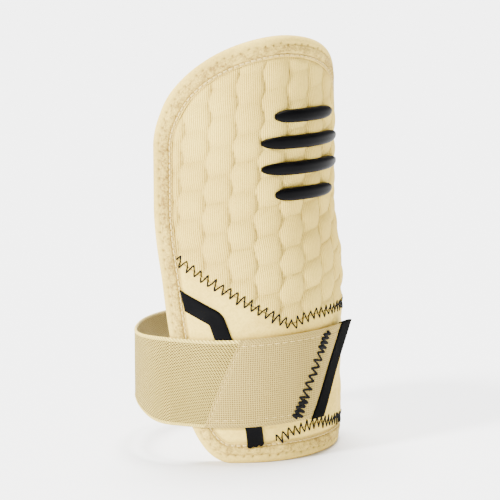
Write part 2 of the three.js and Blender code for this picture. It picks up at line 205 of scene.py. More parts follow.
def heel_edge(share):
    """It rises from the foot's left, quickly at first, and falls a little over the right half."""
    risen = 1 - np.exp(-np.maximum(0, share - HEEL_START) / HEEL_REACH)
    return HEEL_SEAM * risen - HEEL_FALL * np.clip(share, 0, 1)


def walk(line):
    """How far along a line of points each of them is."""
    return np.r_[0, np.cumsum(np.linalg.norm(np.diff(line, axis=0), axis=1))]


def resample(line, want):
    """The points at certain distances along a line."""
    return np.stack([np.interp(want, walk(line), line[:, k]) for k in (0, 1)], -1)


def rim_line(count):
    """The rim, evenly spaced and anticlockwise as seen from outside, with its length."""
    quarter = np.linspace(0, np.pi / 2, 80)
    corners = [
        np.stack([reach + (HALF_WIDTH - reach) * np.sin(quarter), high * (1 - np.cos(quarter))], 1)
        for reach, high in zip(FOOT_REACH, FOOT_ROUND)
    ]
    angle = np.linspace(0, np.pi, 400)
    power = 2 / TOP_POWER
    x = HALF_WIDTH * np.sign(np.cos(angle)) * np.abs(np.cos(angle)) ** power
    top = np.stack([x, HEIGHT - TOP_ROUND + TOP_ROUND * np.sin(angle) ** power], 1)
    line = np.concatenate([corners[1], top, (corners[0] * [-1, 1])[::-1], corners[1][:1]])
    line = line[np.r_[True, np.diff(walk(line)) > 1e-6]]
    length = walk(line)[-1]
    return resample(line, np.linspace(0, length, count + 1)[:-1]), length


def inside_rim(across, up):
    """Distance from points, given from the pattern's leaning middle line, to the nearest point of the rim."""
    rim, _ = rim_line(720)
    flat = np.stack([np.ravel(across), np.ravel(up)], 1)
    parts = np.array_split(flat, 60)
    near = [np.linalg.norm(part[:, None] - rim[None], axis=2).min(1) for part in parts]
    return np.concatenate(near).reshape(np.shape(across))


print("the rim is", round(rim_line(720)[1]), "mm long on the pattern")

# %% [markdown]
# ## From arrays to meshes
# A surface here is a grid of points, each with its place on the pattern. The places become the UV map, in
# metres, so that ribs and weave follow the cloth. A slab is two grids with a wall between their rims, and a
# thread is a thin tube.

# %% Helpers that put arrays into a mesh
pieces = {}


def grid_faces(rows, columns, closed_rows=False, closed_columns=False):
    """The four corners of every cell of a grid of points, anticlockwise."""
    index = np.arange(rows * columns).reshape(rows, columns)
    index = np.pad(index, ((0, int(closed_rows)), (0, int(closed_columns))), "wrap")
    corners = [index[:-1, :-1], index[1:, :-1], index[1:, 1:], index[:-1, 1:]]
    return np.stack(corners, -1).reshape(-1, 4)


def grid_uv(along, inward):
    """The places of a grid's points on its pattern, as rows of two."""
    return np.stack(np.broadcast_arrays(along, inward), -1).reshape(-1, 2)


def make_piece(name, points, faces, uv, materials, slots=None, painted_shade=0):
    """points in mm, faces as index arrays of one width each, uv a place in mm for each point, and the last
    argument the painted shade on each point, from 0 to 1, by which the cloth's finish darkens it."""
    mesh = bpy.data.meshes.new(name)
    mesh.vertices.add(len(points))
    mesh.vertices.foreach_set("co", (np.asarray(points) * MM).ravel())
    corners = np.concatenate([f.ravel() for f in faces])
    sizes = np.concatenate([np.full(len(f), f.shape[1]) for f in faces])
    mesh.loops.add(len(corners))
    mesh.loops.foreach_set("vertex_index", corners.astype(np.int32))
    mesh.polygons.add(len(sizes))
    mesh.polygons.foreach_set("loop_start", np.r_[0, np.cumsum(sizes)[:-1]].astype(np.int32))
    mesh.polygons.foreach_set("use_smooth", np.ones(len(sizes), bool))
    if slots is not None:
        mesh.polygons.foreach_set("material_index", np.asarray(slots, np.int32))
    mesh.update(calc_edges=True)
    layer = mesh.uv_layers.new(name="pattern")
    layer.data.foreach_set("uv", (np.asarray(uv)[corners] * MM).ravel())
    # Each point's painted shade is kept as a point attribute, which the cloth's finish reads to darken it.
    painted_shade_amount = np.clip(np.broadcast_to(np.ravel(painted_shade), len(points)), 0, 1)
    mesh.attributes.new("painted_shade", "FLOAT", "POINT").data.foreach_set("value", painted_shade_amount)
    for material in materials:
        mesh.materials.append(material)
    piece = show(name, mesh)
    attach(piece, "root")
    pieces[name] = piece
    print(f"{name}: {sum(sizes - 2)} triangles")
    return piece


def make_slab(name, outer, inner, across, up, materials, painted_shade=0):
    """Two grids and the wall round them. The inner face takes the last material."""
    rows, columns = outer.shape[:2]
    count = rows * columns
    front = grid_faces(rows, columns)
    index = np.arange(count).reshape(rows, columns)
    rim = np.concatenate([index[:-1, 0], index[-1, :-1], index[:0:-1, -1], index[0, :0:-1]])
    ahead = np.roll(rim, -1)
    wall = np.stack([ahead, rim, rim + count, ahead + count], 1)
    faces = np.concatenate([front, front[:, ::-1] + count, wall])
    slots = np.repeat([0, len(materials) - 1, 0], [len(front), len(front), len(wall)])
    uv = np.tile(grid_uv(across, up), (2, 1))
    points = np.concatenate([outer.reshape(-1, 3), inner.reshape(-1, 3)])
    # The inner face gets six tenths of the outer face's painted shade.
    painted_shade = np.broadcast_to(painted_shade, outer.shape[:2]).ravel()
    return make_piece(name, points, [faces], uv, materials, slots, np.r_[painted_shade, 0.6 * painted_shade])


def unit(v):
    return v / np.maximum(np.linalg.norm(v, axis=-1, keepdims=True), 1e-9)


def make_threads(name, flat, proud, thick, material):
    """Tubes with pointed ends along lines on the pattern, array (threads, points, 2), at a height above the
    face. Each ring is an ellipse round the line, squeezed towards the cloth."""
    sides, squeeze = 6, 0.75
    lines = roll(flat[..., 0], flat[..., 1], proud)
    outward = unit(roll(flat[..., 0], flat[..., 1], proud + 1.0) - lines)
    threads, steps = lines.shape[:2]
    way = unit(np.gradient(lines, axis=1))
    side = unit(np.cross(outward, way))
    lift = np.cross(way, side)
    turn = np.arange(sides) * 2 * np.pi / sides
    ring = side[:, :, None] * np.cos(turn)[:, None] + squeeze * lift[:, :, None] * np.sin(turn)[:, None]
    tubes = lines[:, :, None] + thick * ring
    per = steps * sides + 2
    tips = np.stack([lines[:, 0] - way[:, 0] * thick, lines[:, -1] + way[:, -1] * thick], 1)
    points = np.concatenate([tubes.reshape(threads, -1, 3), tips], 1)
    cell = grid_faces(steps, sides, False, True)[:, ::-1]
    here, ahead = np.arange(sides), np.roll(np.arange(sides), -1)
    start = np.stack([np.full(sides, per - 2), ahead, here], 1)
    end = np.stack([np.full(sides, per - 1), here + per - 2 - sides, ahead + per - 2 - sides], 1)
    shift = (np.arange(threads) * per)[:, None, None]
    faces = [(cell[None] + shift).reshape(-1, 4), (np.concatenate([start, end])[None] + shift).reshape(-1, 3)]
    uv = np.zeros((threads, per, 2))
    uv[:, : steps * sides, 0] = np.repeat(np.linspace(0, 1, steps), sides) * 10
    return make_piece(name, points.reshape(-1, 3), faces, uv.reshape(-1, 2), [material])


print("helpers ready")

# %% [markdown]
# ## Effects that several finishes share
# Knitted ribs, a woven grid, a brushed nap and an uneven dye with painted shade are each a shader node group,
# built once. They put out heights and colours only, and the shader itself stays in each material. Signs between
# the nodes' outputs add Math nodes, so that each effect reads as its formula.

# %% Node helpers


class Wire:
    """A node's output. A sign between it and a wire or a number adds a Math node, and gives that node's output."""

    def __init__(self, socket):
        self.socket, self.tree = socket, socket.id_data

    def math(self, operation, *values):
        return add(self.tree, "Math", dict(enumerate(values or [self])), operation=operation)

    __add__ = lambda self, other: self.math("ADD", self, other)
    __sub__ = lambda self, other: self.math("SUBTRACT", self, other)
    __rsub__ = lambda self, other: self.math("SUBTRACT", other, self)
    __mul__ = lambda self, other: self.math("MULTIPLY", self, other)
    __truediv__ = lambda self, other: self.math("DIVIDE", self, other)
    __pow__ = lambda self, other: self.math("POWER", self, other)
    __abs__ = lambda self: self.math("ABSOLUTE")


def plug(socket, value):
    """Link a wire to a node's input, or set the input to a value."""
    if isinstance(value, Wire):
        value.tree.links.new(value.socket, socket)
    else:
        socket.default_value = value


def add(tree, kind, sockets={}, output=0, **settings):
    """A new node with its inputs filled, by name or number. Gives one of its outputs."""
    node = tree.nodes.new("ShaderNode" + kind)
    for name, value in settings.items():
        setattr(node, name, value)
    for name, value in sockets.items():
        plug(node.inputs[name], value)
    return Wire(node.outputs[output])


def split(vector):
    """The first two parts of a vector."""
    node = vector.tree.nodes.new("ShaderNodeSeparateXYZ")
    plug(node.inputs[0], vector)
    return Wire(node.outputs["X"]), Wire(node.outputs["Y"])


def noise(place, scale, detail, roughness=0.5):
    sockets = {"Vector": place, "Scale": scale, "Detail": detail, "Roughness": roughness}
    return add(place.tree, "TexNoise", sockets, "Fac")


def wave(phase):
    return (phase * math.pi).math("SINE")


def smooth_between(value, low, high):
    sockets = {"Value": value, "From Min": low, "From Max": high}
    return add(value.tree, "MapRange", sockets, interpolation_type="SMOOTHSTEP")


def blend(share, first, second):
    """Mix two colours."""
    return add(share.tree, "Mix", {0: share, 6: first, 7: second}, 2, data_type="RGBA")


def make_group(name, work, **inputs):
    """A shader group. An input is a vector where no value is given, a colour for four numbers, or else a number.
    work takes the inputs in their order and gives the outputs by name."""
    tree = bpy.data.node_groups.new(name, "ShaderNodeTree")
    for label, value in inputs.items():
        kind = "Vector" if value is None else "Color" if isinstance(value, tuple) else "Float"
        socket = tree.interface.new_socket(label, in_out="INPUT", socket_type="NodeSocket" + kind)
        if value is not None:
            socket.default_value = value
    given = tree.nodes.new("NodeGroupInput").outputs
    results = work(*(Wire(given[label]) for label in inputs))
    for label, wire in results.items():
        kind = "Color" if wire.socket.type == "RGBA" else "Float"
        tree.interface.new_socket(label, in_out="OUTPUT", socket_type="NodeSocket" + kind)
    end = tree.nodes.new("NodeGroupOutput").inputs
    for label, wire in results.items():
        plug(end[label], wire)
    print(f"{name}: {', '.join(inputs)} -> {', '.join(results)}")
    return tree


# %% Knitted ribs, woven grid, nap and dye


def knitted_ribs(pattern, rib_width, course_height):
    """Ribs: the sine of the distance across over the rib's width, rounded. Courses: the same upwards, weaker."""
    x, y = split(pattern)
    across = x / MM / rib_width + noise(pattern, 90.0, 2.0) * 0.55
    rib = abs(wave(across))
    course = abs(wave(y / MM / course_height + across.math("FLOOR") * 0.5))
    # Valley marks the ribs' valleys, where the knit's finish paints shade.
    return {"Height": course * 0.32 + rib**0.7 * 0.68, "Valley": (1 - rib) ** 2}


def woven_grid(pattern, pitch, row, stagger, gap):
    """Small gaps between threads, one in each cell of a grid: the distance from the cell's middle, with every
    second row moved along by the stagger."""
    x, y = split(pattern)
    up = y / MM / row
    floor = up.math("FLOOR")
    across = x / MM / pitch + floor.math("FLOORED_MODULO", floor, 2.0) * stagger
    dx, dy = across.math("FRACT") - 0.5, up.math("FRACT") - 0.5
    thread = smooth_between((dx * dx + dy * dy).math("SQRT"), gap * 0.45, gap + 0.1)
    # Gaps marks the low gaps between the threads, where the webbing's finish paints shade.
    return {"Height": thread, "Gaps": 1 - thread}


def brushed_nap(position, size):
    """Short brushed fibres: fine noise over coarser noise."""
    scale = size.math("DIVIDE", 900.0, size)
    both = noise(position, scale, 3.0, 0.7) * 0.6 + noise(position, scale * 0.28, 2.0) * 0.4
    # Tone is high on the fibres' tops. The finishes paint shade where it is low.
    return {"Height": both, "Tone": smooth_between(both, 0.35, 0.62)}


def uneven_dye_and_shade(position, colour, shade, mark):
    """A cloth's colour, a little uneven in large soft patches and in small flecks, with painted shade at the mark.
    """
    patch = smooth_between(noise(position, 26.0, 3.0), 0.35, 0.7)
    fleck = smooth_between(noise(position, 700.0, 2.0), 0.4, 0.7)
    return {"Colour": blend(patch * 0.3 + fleck * 0.2 + mark, colour, shade)}


ribs = make_group("Knitted ribs", knitted_ribs, Pattern=None, Rib=1.0, Course=0.9)
weave = make_group("Woven grid", woven_grid, Pattern=None, Pitch=1.1, Row=1.0, Stagger=0.5, Gap=0.3)
nap = make_group("Brushed nap", brushed_nap, Position=None, Size=1.0)
dye_and_shade = make_group(
    "Uneven dye and painted shade", uneven_dye_and_shade, Position=None, Colour=(0.8, 0.7, 0.5, 1), Shade=(0.7, 0.6, 0.4, 1), Mark=0.0
)

# %% [markdown]
# ## The finishes
# All the cloth is one sand colour, and what tells the pieces apart is their surface: fine upright ribs on the
# quilted knit, a brushed face on the lower panels, an open mesh on the elastic, a close square weave on the tab.
# A weak sheen gives cloth its soft edge, and painted shade darkens its grooves, gaps and seams. The trim is black
# rubber, and the tag is a black ribbon.

# %% Cloth


def linear(red, green, blue):
    """A screen colour of 0 to 255 as the shader's linear values."""
    part = lambda c: c / 12.92 if c <= 0.04045 else ((c + 0.055) / 1.055) ** 2.4
    return (*(part(c / 255) for c in (red, green, blue)), 1.0)


# The cloth's sand colour, its darker tone, and the dark colour that painted shade in grooves, dimples and seams
# takes the cloth towards.
SAND, SAND_SHADE, PAINTED_SHADE_COLOUR = linear(239, 209, 100), linear(202, 168, 74), linear(100, 80, 44)
SHEEN_TINT = linear(236, 214, 160)
ROPE, ROPE_PITCH, ROPE_SOFT = 0.0018, 0.0017, 0.0002  # of the webbing's edge, in metres
OPEN_MESH = {"Pitch": 1.4, "Row": 0.85, "Stagger": 0.5, "Gap": 0.5}
SQUARE_WEAVE = {"Pitch": 1.2, "Row": 1.2, "Stagger": 0.0, "Gap": 0.36}


def start_material(name):
    """A new material, and as wires the place on the piece's pattern and the place on the object."""
    material = bpy.data.materials.new(name)
    material.use_nodes = True
    tree = material.node_tree
    return material, add(tree, "UVMap", uv_map="pattern"), add(tree, "TexCoord", output="Object")


def finish_material(material, colour, height, depth, roughness, sheen=0.0, shine=0.16):
    """Fill in the material's shader. depth is how much the height stands for, in mm."""
    tree = material.node_tree
    values = {
        "Base Color": colour, "Roughness": roughness, "Specular IOR Level": shine,
        "Sheen Weight": sheen, "Sheen Roughness": 0.45, "Sheen Tint": SHEEN_TINT,
        "Normal": add(tree, "Bump", {"Height": height, "Strength": 1.0, "Distance": depth * MM}),
    }
    for name, value in values.items():
        plug(tree.nodes["Principled BSDF"].inputs[name], value)
    return material


def use(group, place, **sockets):
    """A group in a material, at a place. Gives its outputs by name."""
    node = place.tree.nodes.new("ShaderNodeGroup")
    node.node_tree = group
    for name, value in {0: place, **sockets}.items():
        plug(node.inputs[name], value)
    return {socket.name: Wire(socket) for socket in node.outputs}


# The dye group's colour, with painted shade wherever a mark is given.
def dyed_and_shaded(place, colour, shade, mark):
    return use(dye_and_shade, place, Colour=colour, Shade=shade, Mark=mark)["Colour"]


def with_painted_shade(colour, strength=0.8):
    """A colour, darkened by the painted shade that each point carries in the cloth's grooves, seams and dimples.
    """
    painted_shade = add(colour.tree, "Attribute", output="Fac", attribute_name="painted_shade")
    return blend(painted_shade * strength, colour, PAINTED_SHADE_COLOUR)


def knit_material(name, rib, course, depth, mark, colour=SAND, shade=SAND_SHADE):
    """Ribbed knit: ribs and a little nap as height, painted shade in the ribs' valleys, and the piece's painted
    shade in its grooves.
    """
    material, pattern, place = start_material(name)
    rows = use(ribs, pattern, Rib=rib, Course=course)
    cloth = dyed_and_shaded(place, colour, shade, rows["Valley"] * mark)
    height = rows["Height"] + use(nap, place, Size=0.8)["Height"] * 0.35
    return finish_material(material, with_painted_shade(cloth), height, depth, 0.88, 0.12)


def brushed_material(name, size, depth, mark):
    """Brushed knit: nap as height, with painted shade in the nap's hollows and the piece's painted shade in its
    grooves.
    """
    material, _, place = start_material(name)
    fuzz = use(nap, place, Size=size)
    cloth = dyed_and_shaded(place, SAND, SAND_SHADE, (1 - fuzz["Tone"]) * mark)
    return finish_material(material, with_painted_shade(cloth), fuzz["Height"], depth, 0.93, 0.2)


def webbing_material(name, cells, depth, mark, colour, shade, deep):
    """Woven elastic: the gaps between the threads are low, with painted shade in them, and each edge is a rope of
    slanted ribs, with painted shade between the ribs.
    """
    material, pattern, place = start_material(name)
    threads = use(weave, pattern, **cells)
    x, y = split(pattern)
    inner = STRAP * MM / 2 - ROPE
    at_edge = smooth_between(abs(y), inner - ROPE_SOFT, inner + ROPE_SOFT)
    rope = wave((x + y) * (2 / ROPE_PITCH)) * 0.5 + 0.5
    mix = lambda first, second: add(x.tree, "Mix", {0: at_edge, 2: first, 3: second})
    # Painted shade, in the gaps between the threads and between the edge rope's ribs, takes the colour towards
    # deep.
    painted_shade_share = mix(threads["Gaps"] * mark, (1 - rope) * 0.5)
    woven = blend(painted_shade_share, dyed_and_shaded(place, colour, shade, 0.0), deep)
    height = mix(threads["Height"], rope) + use(nap, place, Size=0.7)["Height"] * 0.3
    return finish_material(material, with_painted_shade(woven, 0.7), height, depth, 0.8, 0.1)


quilt_knit = knit_material("quilt_knit", 1.2, 1.3, 0.42, 1.35)
lining_knit = knit_material("lining_knit", 0.8, 0.8, 0.12, 0.4, linear(208, 182, 116), linear(182, 154, 88))
smooth_knit = brushed_material("smooth_knit", 1.0, 0.16, 0.4)
elastic_mesh = webbing_material(
    "elastic_mesh", OPEN_MESH, 0.5, 1.2, linear(255, 227, 118), linear(232, 200, 94), linear(70, 50, 18)
)
# The strap's inside: the same elastic, darker and greyer, as painted shade.
elastic_back_painted_shade = webbing_material(
    "elastic_back_painted_shade", OPEN_MESH, 0.4, 1.0, linear(204, 188, 128), linear(178, 162, 106), linear(100, 88, 58)
)
tab_weave = webbing_material(
    "tab_weave", SQUARE_WEAVE, 0.25, 0.8, linear(184, 160, 86), linear(164, 140, 70), linear(88, 68, 30)
)
print("finishes so far:", [material.name for material in bpy.data.materials])

# %% The tape, the threads and the black trim


def tape_material():
    """Binding tape: a smooth outer roll, then a band of looped pile up to the seam at its inner edge, with painted
    shade in the pile's hollows and in the tape's dimples and seams.
    """
    material, pattern, place = start_material("binding_tape")
    inward = split(pattern)[1] / MM
    pile = smooth_between(inward, 4.8, 5.6) * smooth_between(inward, 10.2, 9.4)
    loops, ground = use(nap, place, Size=1.0), use(nap, place, Size=0.7)
    cloth = dyed_and_shaded(place, linear(226, 196, 96), linear(140, 112, 52), (1 - loops["Tone"]) * pile * 0.75)
    height = loops["Height"] * pile * 2.2 + ground["Height"] * 0.45
    return finish_material(material, with_painted_shade(cloth), height, 0.35, 0.9, 0.15)


def thread_material(name, colour, shade, roughness):
    """Twisted thread: fine uneven bands as height and tone."""
    material, _, place = start_material(name)
    twist = noise(place, 1800.0, 1.0)
    colour = blend(smooth_between(twist, 0.35, 0.65), colour, shade)
    return finish_material(material, colour, twist, 0.05, roughness)


def rubber_material():
    """Moulded rubber: near black, with a fine moulded grain and a soft, uneven shine."""
    material, _, place = start_material("moulded_rubber")
    haze = noise(place, 60.0, 2.0)
    colour = blend(smooth_between(haze, 0.3, 0.7), linear(1, 1, 2), linear(4, 4, 5))
    return finish_material(material, colour, noise(place, 900.0, 3.0), 0.03, haze * 0.16 + 0.3, shine=0.05)


def ribbon_material():
    """Black satin ribbon: a very fine slanted rib, with painted shade in its grooves."""
    material, pattern, _ = start_material("tag_ribbon")
    x, y = split(pattern)
    rib = abs(((x + y * 0.6) * 9000.0).math("SINE"))
    return finish_material(material, blend(rib, linear(1, 1, 1), linear(4, 4, 4)), rib, 0.06, 0.7, shine=0.03)


binding_tape = tape_material()
sand_thread = thread_material("sand_thread", linear(214, 190, 116), linear(188, 160, 86), 0.7)
black_thread = thread_material("black_thread", linear(1, 1, 1), linear(4, 4, 4), 0.8)
rubber, ribbon = rubber_material(), ribbon_material()
print("finishes in all:", len(bpy.data.materials))

# %% [markdown]
# ## The quilted pad
# The front and flanks are knit over foam, quilted in upright columns of staggered cells. It could be sculpted or
# simulated, but the cells are regular, so a formula gives them: each point finds its column and its cell, and
# sinks by how near it is to the cell's sides. The columns' side seams are sharp and wavy, and the creases across
# them soft. The mesh is fine enough to hold this as real relief. The shader adds the ribs, and painted shade in
# the seams and creases.

# %% The quilting's relief
CELL_W, CELL_H, QUILT_SHIFT, BELLY, SKEW, TILT = 15.2, 16.2, -2.6, 0.8, 0.085, 0.14
SEAM_DEEP, CREASE_DEEP = 2.8, 1.9
CALM_FROM, CALM_OVER = 165, 50  # the height from which the creases get weaker


def cell_phase(number, up):
    """How many cells up its column a place is. Every second column starts half a cell higher."""
    return up / CELL_H + 0.5 * (number % 2) + 0.05 * np.sin(2.1 * number)


def cell_of(across, up):
    """A place's column and its share across it. The columns lean, and their sides sway out beside each cell's
    middle."""
    level = across - SKEW * (up - 150) - QUILT_SHIFT
    sway = lambda number: -BELLY * np.cos(2 * np.pi * cell_phase(number - 1, up))
    number = np.round(level / CELL_W)
    number = np.where(level >= number * CELL_W + sway(number), number, number - 1)
    left, right = number * CELL_W + sway(number), (number + 1) * CELL_W + sway(number + 1)
    return number, np.clip((level - left) / (right - left), 0, 1)


def quilt_parts(across, up):
    """The side seams, sharp and deepest beside the middle of the cell to their left, and the soft creases
    across, which rise a little to the right. Both are 0 to 1."""
    number, share = cell_of(across, up)
    crown = (4 * share * (1 - share)) ** 0.42
    owner = np.where(share > 0.5, number, number - 1)
    beside = 0.5 - 0.5 * np.cos(2 * np.pi * (cell_phase(owner, up) - 0.06))
    seam = (1 - crown) * (0.8 + 0.2 * beside)
    cell = cell_phase(number, up) - TILT * (share - 0.5)
    cross = (1 - np.abs(np.sin(np.pi * cell)) ** 0.8) * crown**0.8
    uneven = 1 + 0.2 * np.sin(1.7 * number + 2.3 * np.floor(cell))
    calm = 1 - 0.5 * smooth((up - CALM_FROM) / CALM_OVER)
    return seam, uneven * calm * cross


def quilt(across, up):
    """Depth under the cells' tops, in mm."""
    seam, cross = quilt_parts(across, up)
    return SEAM_DEEP * seam + CREASE_DEEP * cross


def ripple(across, up, size):
    """Slow hand-made unevenness: three crossing sine waves."""
    return (
        np.sin(across / size + 0.7 * np.sin(up / (1.7 * size)))
        + np.sin(up / (0.8 * size) + across / (2.1 * size) + 1.3)
        + np.sin((across - up) / (1.3 * size) + 2.6)
    ) / 3


test_across, test_up = np.meshgrid(np.linspace(-40, 40, 200), np.linspace(100, 160, 200))
print("deepest seam", round(quilt(test_across, test_up).max(), 2), "mm")

# %% The pad and the lower panels
FLANGE_DROP, FLANGE, LOWER_THICK = 1.8, 3.0, 5.1


def panel(name, node, columns, rows, shares, lower, upper, relief, thickness, knit, painted_shade_amount=0):
    """A slab between two edges of the pattern. Near the rim it sinks to the thin flange that the tape holds."""
    share = np.linspace(*shares, columns)[:, None]
    low, high = lower(share), upper(share)
    up = low + (high - low) * np.linspace(0, 1, rows)[None]
    share = np.broadcast_to(share, up.shape)
    across = lean_at(up) + share * HALF
    inside = inside_rim(share * HALF, up) - TAPE_WIDTH
    risen, risen_in = smooth((inside + 1.5) / 5.0), smooth((inside - 7) / 8.0)
    outer = -FLANGE_DROP * (1 - risen) + relief(across, up, share) * risen
    inner = -(FLANGE_DROP + FLANGE) * (1 - risen_in) - thickness(across, up, share) * risen_in
    seam, cross = quilt_parts(across, up)
    # Painted shade, for the finish to darken: in the quilting's seams and creases where the panel asks for it, and
    # in a line along the rim, where the cloth dips under the tape.
    painted_shade = painted_shade_amount * (seam**2.2 + 0.2 * cross**1.5) * smooth(inside / 4)
    painted_shade = painted_shade + 0.6 * dent(inside - 0.3, 0.8)
    faces = roll(across, up, outer), roll(across, up, inner)
    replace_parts(make_slab(name, *faces, across, up, [knit, lining_knit], painted_shade), node)


def pad_relief(across, up, share):
    above = up - seam_edge(share)
    return -quilt(across, up) * smooth((above + 1) / 9) - 1.0 * np.exp(-above / 1.6) + 0.12 * ripple(across, up, 9)


def pad_thickness(across, up, share):
    """Thickest at the front line, thinner on the flanks, and thinned to the lower panel at the seam."""
    front = 5.5 + 7.5 * np.cos(share * np.pi / 2) ** 2
    step = smooth((up - seam_edge(share)) / 12)
    return LOWER_THICK * (1 - step) + front * step - 0.25 * step * quilt(across, up)


panel(
    "pad_quilted", "quilted_pad", 205, 215, (-1, 1), lambda s: seam_edge(s) + GAP / 2,
    lambda s: top_edge(s, TUCK), pad_relief, pad_thickness, quilt_knit, painted_shade_amount=1,
)


def lower_relief(across, up, share):
    """Soft dents, a pinch along both seams, and the pad's cells showing weakly through the right side."""
    to_seam, to_heel = seam_edge(share) - up, up - heel_edge(share)
    pinch = 0.75 * np.exp(-to_seam / 2.2) + 0.6 * np.exp(-np.abs(to_heel) / 2.0)
    ghost = 0.42 * smooth((across - 2) / 12) * smooth(to_heel / 6) * smooth(to_seam / 5)
    return -pinch - ghost * quilt(across, up) + 0.22 * ripple(across, up, 7)


flat_thickness = lambda *place: LOWER_THICK
lower_from = lambda s: np.maximum(foot_edge(s, TUCK), heel_edge(s) + GAP / 2)
panel(
    "panel_lower", "lower_panel", 200, 100, (-1, 1), lower_from, lambda s: seam_edge(s) - GAP / 2,
    lower_relief, flat_thickness, smooth_knit,
)


def heel_relief(across, up, share):
    return -0.6 * np.exp(-(heel_edge(share) - up) / 2.0) + 0.18 * ripple(across, up, 6)


heel_shares = np.linspace(-1, 1, 21)
deep = heel_shares[heel_edge(heel_shares) - foot_edge(heel_shares, TUCK) > TUCK]
panel(
    "panel_heel", "heel_panel", 120, 24, (deep[0], deep[-1]), lambda s: foot_edge(s, TUCK),
    lambda s: heel_edge(s) - GAP / 2, heel_relief, flat_thickness, smooth_knit,
)

# %% [markdown]
# ## The bound edge
# A tape is folded over the raw edges and sewn through twice: once about 4.5 mm in, where the needle pulls small
# dimples, and once at its inner edge. The tape is a profile carried round the rim. The dimples and the pull of
# each stitch are added to the profile's height, so they need no separate pieces.

# %% The tape's profile, carried round the rim
STITCH, DIMPLE = 3.4, 5.0
# Each row is inward from the rim and proud of the guard's face: over the outside, round the rim, back inside,
# and along the slot that holds the panels.
TAPE_OVER = [
    (11.9, -1.6), (11.8, -1.2), (11.5, -0.95), (11.1, -0.95), (10.6, -1.15), (10, -0.75), (9.3, -0.15),
    (8.4, 0.25), (7.4, 0.4), (6.4, 0.3), (5.6, 0.05), (5, -0.25), (4.5, -0.4), (4, -0.25), (3.3, -0.05),
    (2.4, -0.1), (1.6, -0.35), (0.9, -0.8), (0.4, -1.4), (0.1, -2.1), (0, -2.9), (0, -3.7), (0.05, -4.5),
    (0.3, -5.2), (0.8, -5.8), (1.5, -6.2), (2.6, -6.4), (4.5, -6.45), (6.5, -6.45), (8.5, -6.45), (10.4, -6.4),
    (11.3, -6.2), (11.6, -5.8),
]
TAPE_SLOT = [(11.4, -5.3), (6.0, -5.3), (1.25, -5.3), (1.25, -1.3), (6.0, -1.3), (11.3, -1.3)]


def from_rim(line, inward):
    """Step inward from points along the rim, square to it: across and up on the pattern."""
    way = unit(np.roll(line, -1, 0) - np.roll(line, 1, 0))
    up = line[..., 1] + way[..., 0] * inward
    return lean_at(up) + line[..., 0] - way[..., 1] * inward, up


line, length = rim_line(860)
gone = np.arange(len(line))[:, None] * length / len(line)
inward, proud = np.array(TAPE_OVER + TAPE_SLOT).T[:, None]
is_over = (np.arange(inward.size) < len(TAPE_OVER))[None]
outside, under = (proud > -3) & (inward < 11.5) & is_over, (proud < -6) & is_over
beat = np.cos(np.pi * round(length / DIMPLE) * gone / length) ** 2
chance = 0.5 + 0.5 * np.sin(2.9 * gone) * np.sin(0.83 * gone + 1.3)
drift = 4.5 + 0.45 * np.sin(0.37 * gone) + 0.3 * np.sin(1.9 * gone)
pit = (0.45 + 0.75 * chance) * beat**6 * dent(inward - drift, 0.55)
stitch = np.pi * round(length / STITCH) * gone / length
pull = 0.4 * np.cos(stitch) ** 4 * dent(inward - 10.5, 0.7)
puff = 0.1 * np.sin(gone / 6.1) + 0.08 * np.sin(gone / 2.7 + 1)
top = np.where(outside, proud - pit - pull + puff * smooth((inward - 1.5) / 2), proud)
top = np.where(under, top + 0.4 * beat**6 * dent(inward - 4.5, 0.9), top)
rings = roll(*from_rim(line[:, None], inward), top)
# Painted shade: in the needle's dimples, along the first seam, and in the inner seam between its stitches.
shade = 1.3 * pit + 0.2 * dent(inward - drift, 0.5)
shade = shade + (0.45 + 0.9 * np.sin(stitch) ** 6) * dent(inward - 10.6, 0.6)
# The pattern's Y is 20 mm more on the inside, so that the pile stays on the outside.
uv = grid_uv(gone, np.where(proud < -3.5, inward + 20, inward))
faces = grid_faces(*top.shape, True, True)[:, ::-1]
piece = make_piece("tape_binding", rings.reshape(-1, 3), [faces], uv, [binding_tape], painted_shade=shade * outside)
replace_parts(piece, "edge_binding")

# %% [markdown]
# ## The strap
# The elastic is sewn inside the right edge, goes round behind the arm, and comes forward over the left flank to
# a slanted seam, where a stiffer tab takes over. Stretched elastic gets narrower, and it does so here behind the
# arm. A cloth simulation would have to be held at both ends to keep the photographed shape, so the strap is a
# ribbon carried along a curve instead, with a raised selvedge along both edges.

# %% The strap's path
STRAP_UP, STRAP_RISE = 46.0, 2.4
BAND, TAB, TAG = 1.4, 2.0, 0.7
CLEAR = GAP + TAG + GAP
NECK, NECK_RISE, NECK_REACH = 0.78, 3.5, 0.26
BAND_SEAM, TAB_END = (-66.0, -46.5), (6.5, 32.5)
STRETCH = 1.12  # how much longer the worn band is than the relaxed one
TACK = (-15.3, 9.0)  # the bar tack's places at the tab's lower and upper edge
TAB_LIFT, LIFT_FROM = 3.9, 10.0
# The free loop's knots: across and back from the axis in radii, and the heading there in degrees.
LOOP, KNOT_REACH = [(0.84, 0.44, 128), (0.0, 0.885, 180), (-0.87, 0.48, 226)], 0.36
ROOT, ROOT_DEEP = 24.0, 6.5  # the sewn end's length, and how far inside the face it lies


def strap_up(across, level):
    """The height of a place on the strap, whose level is -0.5 at its lower edge and 0.5 at its upper one."""
    return STRAP_UP + STRAP_RISE * smooth((across + HALF_WIDTH) / HALF_WIDTH) + level * STRAP


def slanted(ends, level):
    """How far across a slanted line is at a level, from its lower end to its upper one."""
    return ends[0] + (ends[1] - ends[0]) * (level + 0.5)


